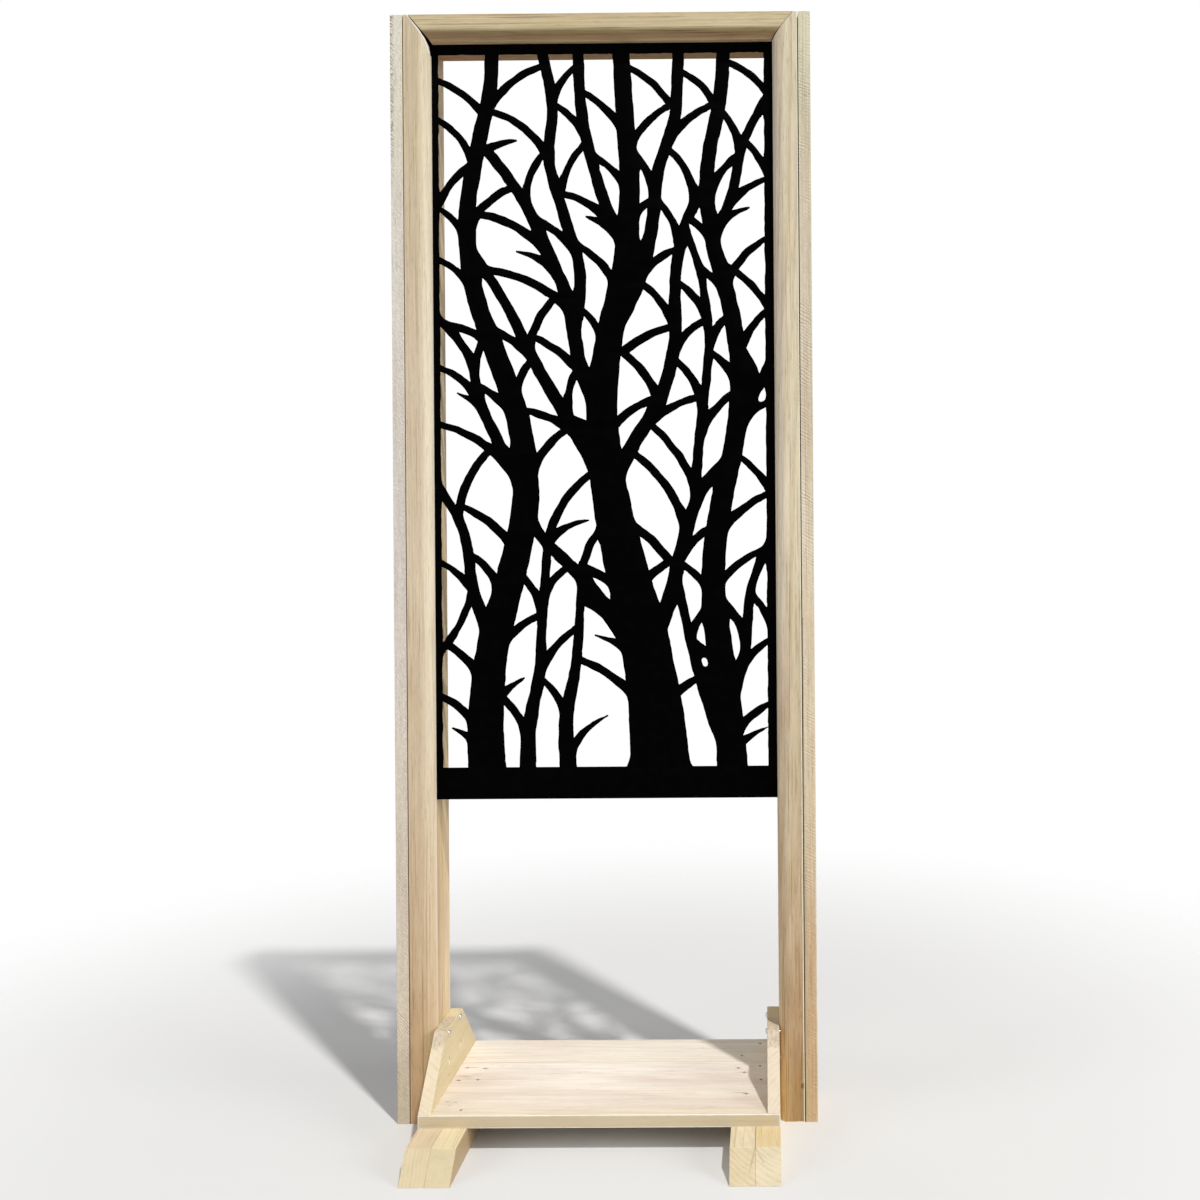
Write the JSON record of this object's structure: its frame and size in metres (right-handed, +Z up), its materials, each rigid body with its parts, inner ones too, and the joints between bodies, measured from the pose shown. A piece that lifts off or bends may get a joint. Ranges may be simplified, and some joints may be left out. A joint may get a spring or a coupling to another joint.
{
  "type": "room divider",
  "caption": "Free-standing timber room divider: a mitred frame holds a black sheet cut out as bare branches above an open space and a low shelf base on foot blocks.",
  "frame": {"origin": "centre of the footprint on the floor", "axes": "+Z up; the front, with the mouldings, faces -Y; +X to the right as seen from the front"},
  "size_m": [0.6516, 0.448, 1.72],
  "materials": {
    "moulding": "planed pine, bare, satin",
    "sawn_board": "rough-sawn, matte",
    "side_board": "planed pine, bare, matte",
    "core": "planed pine, bare, matte",
    "shelf": "planed pine, pale, satin",
    "cleat": "planed pine, bare, satin",
    "foot": "planed pine, bare, matte",
    "panel_black": "black powder coat, satin",
    "fastener": "zinc plated",
    "nail": "dull"
  },
  "bodies": {
    "root": {"side_board_left": "sawn_board", "side_board_right": "side_board", "front_stile_left": "moulding", "front_stile_right": "moulding", "front_top_rail": "moulding", "core_post_left": "core", "core_post_right": "core", "core_top_rail": "core", "branch_panel": "panel_black", "shelf_front_board": "shelf", "shelf_rear_board": "shelf", "cleat_left": "cleat", "cleat_right": "cleat", "foot_left_outer": "foot", "foot_left_inner": "foot", "foot_right_inner": "foot", "foot_right_outer": "foot", "moulding_screws": "fastener", "side_board_screws": "fastener", "corner_screws": "fastener", "cleat_screws": "fastener", "cleat_base_screws": "fastener", "shelf_nails": "nail"}
  },
  "joints": []
}
